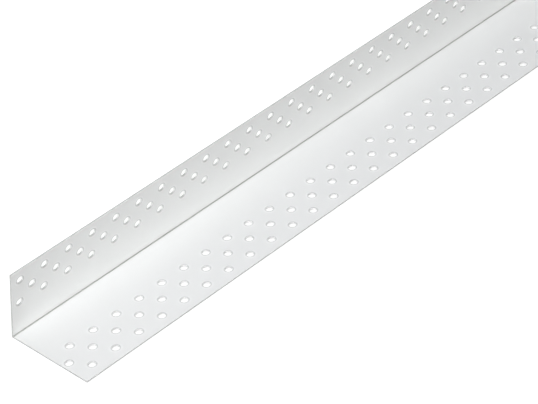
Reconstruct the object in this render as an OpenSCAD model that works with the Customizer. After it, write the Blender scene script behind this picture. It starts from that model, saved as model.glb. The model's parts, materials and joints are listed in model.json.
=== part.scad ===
// Drywall corner bead: a white plastic angle, extruded in one piece,
// cut to its sold length and punched with staggered rows of holes
// along the outer part of both legs, for nails and joint compound.
// The bead runs along Y, its wide leg lies flat and its narrow leg stands.
// The legs are sprung in a little, so that the bead grips the wall's corner.
// All sizes are in millimetres.

/* [Bead] */
// sold length of the bead
bead_length = 2440; // [300:1:3660]
// width of the leg that lies flat, from where the outside faces meet
flat_leg_width = 44.5; // [34:0.25:60]
// width of the leg that stands, from where the outside faces meet
standing_leg_width = 35; // [28:0.25:60]
// angle between the two legs
leg_angle = 80; // [70:1:90]
// thickness of the plastic
sheet_thickness = 0.7; // [0.5:0.05:1.8]

/* [Corner and edges] */
// radius on the outside of the corner
corner_radius = 0.5; // [0.2:0.05:0.6]
// radius of the crease that runs along the inside of the corner
crease_radius = 0.35; // [0.15:0.05:0.4]
// rounding on both sides of each leg's free edge
edge_radius = 0.15; // [0.05:0.05:0.2]

/* [Punched holes] */
// diameter of each hole
hole_diameter = 3.2; // [2:0.1:4.5]
// least plastic between a hole and a sawn end
end_land = 1; // [0.5:0.1:5]

/* [Rows on the flat leg] */
// number of rows
flat_row_count = 3; // [1:1:3]
// distance from hole to hole along a row
flat_hole_pitch = 12.7; // [8:0.01:25]
// from the free edge to the middle of the outermost row
flat_edge_to_row = 6.05; // [4:0.05:8]
// from the middle of one row to the next
flat_row_spacing = 7.7; // [5:0.1:8.5]
// from the near end to the first hole of the outermost row
flat_first_hole = 8.3; // [4:0.05:12]
// how far each row starts nearer to the end than the row outside it
flat_row_stagger = 5.3; // [0:0.05:12]

/* [Rows on the standing leg] */
// number of rows
standing_row_count = 3; // [1:1:3]
// distance from hole to hole along a row
standing_hole_pitch = 12.9; // [8:0.01:25]
// from the free edge to the middle of the outermost row
standing_edge_to_row = 5.4; // [4:0.05:8]
// from the middle of one row to the next
standing_row_spacing = 5.9; // [4.8:0.05:6.5]
// from the near end to the first hole of the outermost row
standing_first_hole = 4.65; // [4:0.05:12]
// how far each row starts farther from the end than the row outside it
standing_row_stagger = 6.15; // [0:0.05:12]

/* [Hidden] */
$fn = 48;
// how far each punch reaches past the plastic on both sides
punch_overrun = 1;
punch_length = sheet_thickness + 2 * punch_overrun;
// how far each rounding cut reaches past the outline of the section
round_overrun = 0.5;
near_end = -bead_length / 2;
// how far along each leg the inside faces meet
crease_place = sheet_thickness / tan(leg_angle / 2);
// each leg's section starts this far along it, inside the plastic of the corner
leg_start = crease_place / 2;
// how far along each leg the rounding of the outside corner reaches
round_place = corner_radius / tan(leg_angle / 2);
// the rounded corner stays this far back from where the outside faces meet
corner_setback = round_place - corner_radius;
// the outside faces of the two legs meet on this line, at floor level
corner_x = -(flat_leg_width + corner_setback) / 2;
nearest_hole = end_land + hole_diameter / 2;
farthest_hole = bead_length - nearest_hole;

// a point of the section, this far along the standing leg and this far out from its outside face
function on_standing_leg(reach, out) =
    [reach * cos(leg_angle) - out * sin(leg_angle), reach * sin(leg_angle) + out * cos(leg_angle)];

// the first place along a row where a whole hole fits, stepping by the pitch
function row_start(place, pitch) =
    let (steps = ceil((nearest_hole - place) / pitch))
    place + steps * pitch;

// the number of whole holes in a row that starts at this place
function row_holes(start, pitch) = floor((farthest_hole - start) / pitch) + 1;

// one leg's section, from inside the corner to a free edge with both sides rounded
module leg_section(reach) {
    difference() {
        translate([leg_start, 0])
            square([reach - leg_start, sheet_thickness]);
        for (side = [0, 1])
            translate([reach, side * sheet_thickness])
                mirror([0, side])
                    edge_round();
    }
}

// what is taken off a square edge at the origin, which faces +X and -Y
module edge_round() {
    difference() {
        translate([-edge_radius, -round_overrun])
            square(edge_radius + round_overrun);
        translate([-edge_radius, edge_radius])
            circle(edge_radius);
    }
}

// the plastic between the two legs, with its outside corner still sharp
module corner_section() {
    polygon([
        [0, 0],
        [crease_place, 0],
        [crease_place, sheet_thickness],
        on_standing_leg(crease_place, 0)
    ]);
}

// what is taken off the sharp outside corner
module corner_round() {
    difference() {
        polygon([
            [round_place, corner_radius],
            [round_place, -round_overrun],
            [-round_overrun / tan(leg_angle / 2), -round_overrun],
            on_standing_leg(round_place, round_overrun)
        ]);
        translate([round_place, corner_radius])
            circle(corner_radius);
    }
}

// the angle's section: two legs, a rounded outside corner and a creased inside one
module bead_section() {
    difference() {
        union() {
            leg_section(flat_leg_width);
            rotate(leg_angle)
                mirror([0, 1])
                    leg_section(standing_leg_width);
            corner_section();
        }
        corner_round();
        translate([crease_place, sheet_thickness])
            circle(crease_radius);
    }
}

// one row of punches along Y, which point along +Z
module punch_row(place, pitch) {
    start = row_start(place, pitch);
    for (hole = [0 : row_holes(start, pitch) - 1])
        translate([0, near_end + start + hole * pitch, -punch_overrun])
            cylinder(d = hole_diameter, h = punch_length);
}

// the rows of the flat leg, counted inwards from its free edge
module flat_leg_punches() {
    for (row = [0 : flat_row_count - 1]) {
        reach = flat_leg_width - flat_edge_to_row - row * flat_row_spacing;
        translate([corner_x + reach, 0, 0])
            punch_row(flat_first_hole - row * flat_row_stagger, flat_hole_pitch);
    }
}

// the rows of the standing leg, counted downwards from its free edge
module standing_leg_punches() {
    for (row = [0 : standing_row_count - 1]) {
        reach = standing_leg_width - standing_edge_to_row - row * standing_row_spacing;
        middle = on_standing_leg(reach, 0);
        translate([corner_x + middle.x, 0, middle.y])
            rotate([0, 180 - leg_angle, 0])
                punch_row(standing_first_hole + row * standing_row_stagger, standing_hole_pitch);
    }
}

// the finished bead
module corner_bead() {
    color("white")
        difference() {
            rotate([90, 0, 0])
                translate([corner_x, 0, 0])
                    linear_extrude(height = bead_length, center = true)
                        bead_section();
            flat_leg_punches();
            standing_leg_punches();
        }
}

corner_bead();
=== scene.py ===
import json
import math

import bpy
from mathutils import Matrix, Vector


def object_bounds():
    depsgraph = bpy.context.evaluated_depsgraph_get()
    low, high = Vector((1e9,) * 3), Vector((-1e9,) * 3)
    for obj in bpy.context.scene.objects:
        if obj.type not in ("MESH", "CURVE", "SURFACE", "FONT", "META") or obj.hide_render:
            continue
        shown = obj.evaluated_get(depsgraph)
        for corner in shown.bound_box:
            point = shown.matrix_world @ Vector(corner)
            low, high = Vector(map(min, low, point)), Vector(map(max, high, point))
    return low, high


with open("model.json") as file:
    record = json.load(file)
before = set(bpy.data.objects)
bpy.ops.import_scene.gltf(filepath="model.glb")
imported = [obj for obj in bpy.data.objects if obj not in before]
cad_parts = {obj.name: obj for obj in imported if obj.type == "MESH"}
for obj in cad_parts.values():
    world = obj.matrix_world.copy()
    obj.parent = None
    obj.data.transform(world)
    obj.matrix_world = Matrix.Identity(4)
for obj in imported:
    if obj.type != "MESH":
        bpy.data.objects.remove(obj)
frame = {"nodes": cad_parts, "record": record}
cad_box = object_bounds()
scene = bpy.context.scene

# The bead: one angle of rigid white PVC, extruded, punched with rows of holes and sawn to length.
# Its satin skin has draw lines from the die and a fine orange peel. Each hole has a painted dark rim
# (painted shade), a low lip and a whitened ring from the punch, and painted light on its walls. Painted
# shade darkens the sawn and slit faces and the crease.
bead = frame["nodes"]["corner_bead"]
mounts = {mount["name"]: mount for mount in frame["record"]["mounts"]}
thickness = 0.0007
hole_radius = mounts["flat_leg_outer_row_end_holes"]["dims"]["hole_r_mm"] / 1000

pvc = bpy.data.materials.new("white_pvc")
pvc.use_nodes = True
nodes, links = pvc.node_tree.nodes, pvc.node_tree.links
nodes.clear()
output = nodes.new("ShaderNodeOutputMaterial")
shader = nodes.new("ShaderNodeBsdfPrincipled")
shader.inputs["IOR"].default_value = 1.53
links.new(shader.outputs["BSDF"], output.inputs["Surface"])
place = nodes.new("ShaderNodeTexCoord")

# clouding: slow changes of whiteness in the batch
clouding = nodes.new("ShaderNodeTexNoise")
clouding.inputs["Scale"].default_value = 28
clouding.inputs["Detail"].default_value = 3
links.new(place.outputs["Object"], clouding.inputs["Vector"])
whiteness = nodes.new("ShaderNodeMix")
whiteness.data_type = "RGBA"
whiteness.inputs["A"].default_value = (0.885, 0.894, 0.893, 1)
whiteness.inputs["B"].default_value = (0.915, 0.923, 0.922, 1)
links.new(clouding.outputs["Fac"], whiteness.inputs["Factor"])

# cut faces: wherever the surface turns away from the broad faces of its leg
face_slack = 0.0001
inside_faces = {}
broad_faces = []
for leg in ("flat_leg", "standing_leg"):
    outer_face = mounts[f"{leg}_outer_face"]
    outward = Vector(outer_face["axis"])
    inside = Vector(outer_face["pos_m"]).dot(outward) - thickness
    inside_faces[leg] = (outward, inside)
    depth = nodes.new("ShaderNodeVectorMath")
    depth.operation = "DOT_PRODUCT"
    depth.inputs[1].default_value = outward
    links.new(place.outputs["Object"], depth.inputs[0])
    on_leg = nodes.new("ShaderNodeMath")
    on_leg.operation = "GREATER_THAN"
    on_leg.inputs[1].default_value = inside - face_slack
    links.new(depth.outputs["Value"], on_leg.inputs[0])
    facing = nodes.new("ShaderNodeVectorMath")
    facing.operation = "DOT_PRODUCT"
    facing.inputs[1].default_value = outward
    links.new(place.outputs["Normal"], facing.inputs[0])
    turned = nodes.new("ShaderNodeMath")
    turned.operation = "ABSOLUTE"
    links.new(facing.outputs["Value"], turned.inputs[0])
    on_face = nodes.new("ShaderNodeMath")
    on_face.operation = "MULTIPLY"
    links.new(on_leg.outputs[0], on_face.inputs[0])
    links.new(turned.outputs[0], on_face.inputs[1])
    broad_faces.append(on_face)
broad = nodes.new("ShaderNodeMath")
broad.operation = "MAXIMUM"
links.new(broad_faces[0].outputs[0], broad.inputs[0])
links.new(broad_faces[1].outputs[0], broad.inputs[1])
cut = nodes.new("ShaderNodeMapRange")
cut.inputs["From Min"].default_value = 0.3
cut.inputs["From Max"].default_value = 0.6
cut.inputs["To Min"].default_value = 1
cut.inputs["To Max"].default_value = 0
links.new(broad.outputs[0], cut.inputs["Value"])

# punched holes: how far each spot is from the nearest one, found from the end holes of each row
flat_pitch = 0.0127
standing_pitch = 0.0129
hole_distance = None
for leg, span, pitch in (
        ("flat_leg", "spacing_y_mm", flat_pitch),
        ("standing_leg", "pcd_mm", standing_pitch)):
    for row in ("outer", "middle", "inner"):
        holes = mounts[f"{leg}_{row}_row_end_holes"]
        half_span = holes["dims"][span] / 1000 / 2
        first_hole = Vector(holes["pos_m"]) - Vector((0, half_span, 0))
        from_first = nodes.new("ShaderNodeVectorMath")
        from_first.operation = "SUBTRACT"
        from_first.inputs[1].default_value = first_hole
        links.new(place.outputs["Object"], from_first.inputs[0])
        beside_row = nodes.new("ShaderNodeVectorMath")
        beside_row.operation = "DOT_PRODUCT"
        beside_row.inputs[1].default_value = Vector(holes["axis"]).cross((0, 1, 0))
        links.new(from_first.outputs["Vector"], beside_row.inputs[0])
        along_row = nodes.new("ShaderNodeSeparateXYZ")
        links.new(from_first.outputs["Vector"], along_row.inputs["Vector"])
        to_hole = nodes.new("ShaderNodeMath")
        to_hole.operation = "WRAP"
        to_hole.inputs[1].default_value = pitch / 2
        to_hole.inputs[2].default_value = -pitch / 2
        links.new(along_row.outputs["Y"], to_hole.inputs[0])
        in_plane = nodes.new("ShaderNodeCombineXYZ")
        links.new(beside_row.outputs["Value"], in_plane.inputs["X"])
        links.new(to_hole.outputs[0], in_plane.inputs["Y"])
        from_hole = nodes.new("ShaderNodeVectorMath")
        from_hole.operation = "LENGTH"
        links.new(in_plane.outputs["Vector"], from_hole.inputs[0])
        if hole_distance is None:
            hole_distance = from_hole.outputs["Value"]
        else:
            nearest = nodes.new("ShaderNodeMath")
            nearest.operation = "MINIMUM"
            links.new(hole_distance, nearest.inputs[0])
            links.new(from_hole.outputs["Value"], nearest.inputs[1])
            hole_distance = nearest.outputs[0]

# punch marks: a fine dark line of painted shade at the rim of each hole, and around it plastic whitened by
# the punch
ring_width = 0.0016
from_rim = nodes.new("ShaderNodeMapRange")
from_rim.inputs["From Min"].default_value = hole_radius
from_rim.inputs["From Max"].default_value = hole_radius + ring_width
links.new(hole_distance, from_rim.inputs["Value"])
rim_shade = nodes.new("ShaderNodeValToRGB")
rim_shade.color_ramp.interpolation = "EASE"
# the darkest point of the ramp is painted shade at the rim of the hole
rim_painted_shade = rim_shade.color_ramp.elements[0]
rim_painted_shade.position = 0.18
rim_painted_shade.color = (0, 0, 0, 1)
unmarked = rim_shade.color_ramp.elements[1]
unmarked.position = 1
unmarked.color = (0.83, 0.83, 0.83, 1)
whitest = rim_shade.color_ramp.elements.new(0.42)
whitest.color = (1, 1, 1, 1)
links.new(from_rim.outputs["Result"], rim_shade.inputs["Fac"])
rim_gain = nodes.new("ShaderNodeMapRange")
rim_gain.inputs["To Min"].default_value = 0.79
rim_gain.inputs["To Max"].default_value = 1.045
links.new(rim_shade.outputs["Color"], rim_gain.inputs["Value"])
skin_with_rim_shade = nodes.new("ShaderNodeVectorMath")
skin_with_rim_shade.operation = "SCALE"
links.new(whiteness.outputs["Result"], skin_with_rim_shade.inputs["Vector"])
links.new(rim_gain.outputs["Result"], skin_with_rim_shade.inputs["Scale"])

# cut faces: painted light makes the hole walls whiter than the skin; painted shade darkens the slit and sawn
# faces, and more where they look up
wall_slack = 0.00006
sawn_and_slit_painted_shade = (0.57, 0.575, 0.57, 1)
hole_wall_painted_light = (0.95, 0.955, 0.95, 1)
upward_painted_shade = (0.55, 0.56, 0.55, 1)
in_hole = nodes.new("ShaderNodeMath")
in_hole.operation = "LESS_THAN"
in_hole.inputs[1].default_value = hole_radius + wall_slack
links.new(hole_distance, in_hole.inputs[0])
wall_light_mix = nodes.new("ShaderNodeMix")
wall_light_mix.data_type = "RGBA"
wall_light_mix.inputs["A"].default_value = sawn_and_slit_painted_shade
wall_light_mix.inputs["B"].default_value = hole_wall_painted_light
links.new(in_hole.outputs[0], wall_light_mix.inputs["Factor"])
upright = nodes.new("ShaderNodeSeparateXYZ")
links.new(place.outputs["Normal"], upright.inputs["Vector"])
faces_up = nodes.new("ShaderNodeMapRange")
faces_up.inputs["From Min"].default_value = 0.45
faces_up.inputs["From Max"].default_value = 0.95
links.new(upright.outputs["Z"], faces_up.inputs["Value"])
cut_light_and_shade = nodes.new("ShaderNodeMix")
cut_light_and_shade.data_type = "RGBA"
cut_light_and_shade.inputs["B"].default_value = upward_painted_shade
links.new(faces_up.outputs["Result"], cut_light_and_shade.inputs["Factor"])
links.new(wall_light_mix.outputs["Result"], cut_light_and_shade.inputs["A"])
# the cut faces take this painted light and shade in place of the skin colour
cut_faces_painted = nodes.new("ShaderNodeMix")
cut_faces_painted.data_type = "RGBA"
links.new(cut.outputs["Result"], cut_faces_painted.inputs["Factor"])
links.new(skin_with_rim_shade.outputs["Vector"], cut_faces_painted.inputs["A"])
links.new(cut_light_and_shade.outputs["Result"], cut_faces_painted.inputs["B"])

# painted shade: a grey line in the crease, thinning out on both legs beside it
crease_shade_full = 0.00036
crease_shade_reach = 0.0006
crease_shade_grey = (0.42, 0.43, 0.40, 1)
standing_outward, standing_inside = inside_faces["standing_leg"]
crease_x = (standing_inside - thickness * standing_outward.z) / standing_outward.x
section = nodes.new("ShaderNodeVectorMath")
section.operation = "MULTIPLY"
section.inputs[1].default_value = (1, 0, 1)
links.new(place.outputs["Object"], section.inputs[0])
from_crease = nodes.new("ShaderNodeVectorMath")
from_crease.operation = "DISTANCE"
from_crease.inputs[1].default_value = (crease_x, 0, thickness)
links.new(section.outputs["Vector"], from_crease.inputs[0])
crease_shade = nodes.new("ShaderNodeMapRange")
crease_shade.inputs["From Min"].default_value = crease_shade_full
crease_shade.inputs["From Max"].default_value = crease_shade_reach
crease_shade.inputs["To Min"].default_value = 0.55
crease_shade.inputs["To Max"].default_value = 0
links.new(from_crease.outputs["Value"], crease_shade.inputs["Value"])
crease_shaded = nodes.new("ShaderNodeMix")
crease_shaded.data_type = "RGBA"
crease_shaded.inputs["B"].default_value = crease_shade_grey
links.new(crease_shade.outputs["Result"], crease_shaded.inputs["Factor"])
links.new(cut_faces_painted.outputs["Result"], crease_shaded.inputs["A"])
links.new(crease_shaded.outputs["Result"], shader.inputs["Base Color"])

# draw lines: noise pulled out along the bead
along = nodes.new("ShaderNodeMapping")
along.inputs["Scale"].default_value = (900, 3, 900)
links.new(place.outputs["Object"], along.inputs["Vector"])
draw_lines = nodes.new("ShaderNodeTexNoise")
draw_lines.inputs["Scale"].default_value = 1
draw_lines.inputs["Detail"].default_value = 3
links.new(along.outputs["Vector"], draw_lines.inputs["Vector"])
sheen_spread = nodes.new("ShaderNodeMapRange")
sheen_spread.inputs["To Min"].default_value = 0.3
sheen_spread.inputs["To Max"].default_value = 0.4
links.new(draw_lines.outputs["Fac"], sheen_spread.inputs["Value"])
rough_cut = nodes.new("ShaderNodeMix")
rough_cut.data_type = "FLOAT"
rough_cut.inputs["B"].default_value = 0.6
links.new(cut.outputs["Result"], rough_cut.inputs["Factor"])
links.new(sheen_spread.outputs["Result"], rough_cut.inputs["A"])
links.new(rough_cut.outputs["Result"], shader.inputs["Roughness"])

# burr: the low lip that the punch threw up around each hole
burr_top = hole_radius + 0.0001
burr_foot = hole_radius + 0.0011
burr_height = 0.0001
burr = nodes.new("ShaderNodeMapRange")
burr.interpolation_type = "SMOOTHSTEP"
burr.inputs["From Min"].default_value = burr_top
burr.inputs["From Max"].default_value = burr_foot
burr.inputs["To Min"].default_value = 1
burr.inputs["To Max"].default_value = 0
links.new(hole_distance, burr.inputs["Value"])
lip = nodes.new("ShaderNodeBump")
lip.inputs["Strength"].default_value = 1
lip.inputs["Distance"].default_value = burr_height
links.new(burr.outputs["Result"], lip.inputs["Height"])

# orange peel: the fine relief of the skin, with the draw lines in it
peel_height = 0.00015
peel = nodes.new("ShaderNodeTexNoise")
peel.inputs["Scale"].default_value = 1400
peel.inputs["Detail"].default_value = 2
links.new(place.outputs["Object"], peel.inputs["Vector"])
relief = nodes.new("ShaderNodeMix")
relief.data_type = "FLOAT"
relief.inputs["Factor"].default_value = 0.6
links.new(peel.outputs["Fac"], relief.inputs["A"])
links.new(draw_lines.outputs["Fac"], relief.inputs["B"])
skin = nodes.new("ShaderNodeBump")
skin.inputs["Strength"].default_value = 0.12
skin.inputs["Distance"].default_value = peel_height
links.new(relief.outputs["Result"], skin.inputs["Height"])
links.new(lip.outputs["Normal"], skin.inputs["Normal"])
links.new(skin.outputs["Normal"], shader.inputs["Normal"])

bead.data.materials.clear()
bead.data.materials.append(pvc)

# The studio floor: a plain white sheet that the bead lies on, a hair below it.
# It shows as white to the camera and keeps the bead's shadow.
floor_half = 4.0
floor_drop = 0.0002
floor_grey = (0.35, 0.35, 0.35, 1)
floor_glow = 0.8
floor_mesh = bpy.data.meshes.new("floor")
floor_mesh.from_pydata(
    [(-floor_half, -floor_half, 0), (floor_half, -floor_half, 0),
     (floor_half, floor_half, 0), (-floor_half, floor_half, 0)],
    [], [(0, 1, 2, 3)])
floor = bpy.data.objects.new("floor", floor_mesh)
floor.location.z = -floor_drop
scene.collection.objects.link(floor)

# seen directly: 1 for what the camera sees, also in a reflection or through something clear
seen_directly = bpy.data.node_groups.new("seen_directly", "ShaderNodeTree")
seen_directly.interface.new_socket("Seen", in_out="OUTPUT", socket_type="NodeSocketFloat")
nodes, links = seen_directly.nodes, seen_directly.links
rays = nodes.new("ShaderNodeLightPath")
mirrored = nodes.new("ShaderNodeMath")
mirrored.operation = "MAXIMUM"
links.new(rays.outputs["Is Camera Ray"], mirrored.inputs[0])
links.new(rays.outputs["Is Glossy Ray"], mirrored.inputs[1])
any_view = nodes.new("ShaderNodeMath")
any_view.operation = "MAXIMUM"
links.new(mirrored.outputs[0], any_view.inputs[0])
links.new(rays.outputs["Is Transmission Ray"], any_view.inputs[1])
result = nodes.new("NodeGroupOutput")
links.new(any_view.outputs[0], result.inputs["Seen"])

paper = bpy.data.materials.new("floor_white")
paper.use_nodes = True
nodes, links = paper.node_tree.nodes, paper.node_tree.links
nodes.clear()
output = nodes.new("ShaderNodeOutputMaterial")
lit = nodes.new("ShaderNodeBsdfDiffuse")
lit.inputs["Color"].default_value = floor_grey
seen = nodes.new("ShaderNodeGroup")
seen.node_tree = seen_directly
level = nodes.new("ShaderNodeMath")
level.operation = "MULTIPLY"
level.inputs[1].default_value = floor_glow
links.new(seen.outputs["Seen"], level.inputs[0])
glow = nodes.new("ShaderNodeEmission")
links.new(level.outputs[0], glow.inputs["Strength"])
both = nodes.new("ShaderNodeAddShader")
links.new(lit.outputs["BSDF"], both.inputs[0])
links.new(glow.outputs["Emission"], both.inputs[1])
links.new(both.outputs["Shader"], output.inputs["Surface"])
floor_mesh.materials.append(paper)

# The studio light: a white tent, cooler overhead than at its sides, with six soft boxes in it.
# Four light the near end, from the open side of the angle and from off the end.
# Two long ones with a narrow beam light the far part from above and the standing leg from behind.
tent_sides = (1.04, 1.02, 0.91, 1)
tent_top = (0.965, 0.985, 1.06, 1)
world = bpy.data.worlds.new("tent")
world.use_nodes = True
nodes, links = world.node_tree.nodes, world.node_tree.links
tent = nodes["Background"]
tent.inputs["Strength"].default_value = 0.39
direction = nodes.new("ShaderNodeTexCoord")
height = nodes.new("ShaderNodeSeparateXYZ")
links.new(direction.outputs["Generated"], height.inputs["Vector"])
cloth = nodes.new("ShaderNodeMix")
cloth.data_type = "RGBA"
cloth.inputs["A"].default_value = tent_sides
cloth.inputs["B"].default_value = tent_top
links.new(height.outputs["Z"], cloth.inputs["Factor"])
links.new(cloth.outputs["Result"], tent.inputs["Color"])
backdrop = nodes.new("ShaderNodeBackground")
backdrop.inputs["Color"].default_value = (1, 1, 1, 1)
backdrop.inputs["Strength"].default_value = 1
seen = nodes.new("ShaderNodeGroup")
seen.node_tree = seen_directly
surround = nodes.new("ShaderNodeMixShader")
links.new(seen.outputs["Seen"], surround.inputs["Fac"])
links.new(tent.outputs["Background"], surround.inputs[1])
links.new(backdrop.outputs["Background"], surround.inputs[2])
links.new(surround.outputs["Shader"], nodes["World Output"].inputs["Surface"])
scene.world = world


def soft_box(name, stand, target, size, beam, energy):
    light = bpy.data.lights.new(name, "AREA")
    light.shape = "RECTANGLE"
    light.size, light.size_y = size
    light.spread = beam
    light.energy = energy
    lamp = bpy.data.objects.new(name, light)
    lamp.location = stand
    lamp.rotation_euler = (Vector(target) - lamp.location).to_track_quat("-Z", "Y").to_euler()
    scene.collection.objects.link(lamp)


open_beam = math.pi
narrow_beam = 1.05
near_end = Vector((0, cad_box[0][1], 0))
near_target = near_end + Vector((0, 0.1, 0))
for name, offset, width, energy in (
        ("high_box", (0.7, -0.5, 1.0), 0.8, 4.2),
        ("side_box", (1.0, -0.2, 0.7), 0.8, 1.7),
        ("near_box", (0.25, -0.15, 0.5), 0.4, 0.83),
        ("front_box", (0.35, -2.6, 0.6), 0.8, 28)):
    soft_box(name, near_end + Vector(offset), near_target, (width, width), open_beam, energy)
soft_box("far_box", (0.6, 0.4, 1.0), (0, 0.4, 0), (1.6, 0.5), narrow_beam, 0.9)
soft_box("back_box", (-1.0, 0, 0.35), (0, 0, 0), (2.4, 0.3), narrow_beam, 1.1)

# The camera: a long lens that looks down on the near end from the open side of the angle.
# Its place, turn and lens were fitted to the bead's edges and holes.
eye = (0.587252, -1.63969, 0.588318)
right = Vector((0.71956, 0.689878, -0.079383))
up = Vector((-0.363082, 0.471199, 0.80383))
back = right.cross(up)
lens = bpy.data.cameras.new("camera")
lens.sensor_fit = "HORIZONTAL"
lens.sensor_width = 36
lens.lens = 157.652
lens.clip_end = 20
camera = bpy.data.objects.new("camera", lens)
camera.matrix_world = Matrix.Translation(eye) @ Matrix((right, up, back)).transposed().to_4x4()
scene.collection.objects.link(camera)
scene.camera = camera
scene.view_settings.view_transform = "Standard"
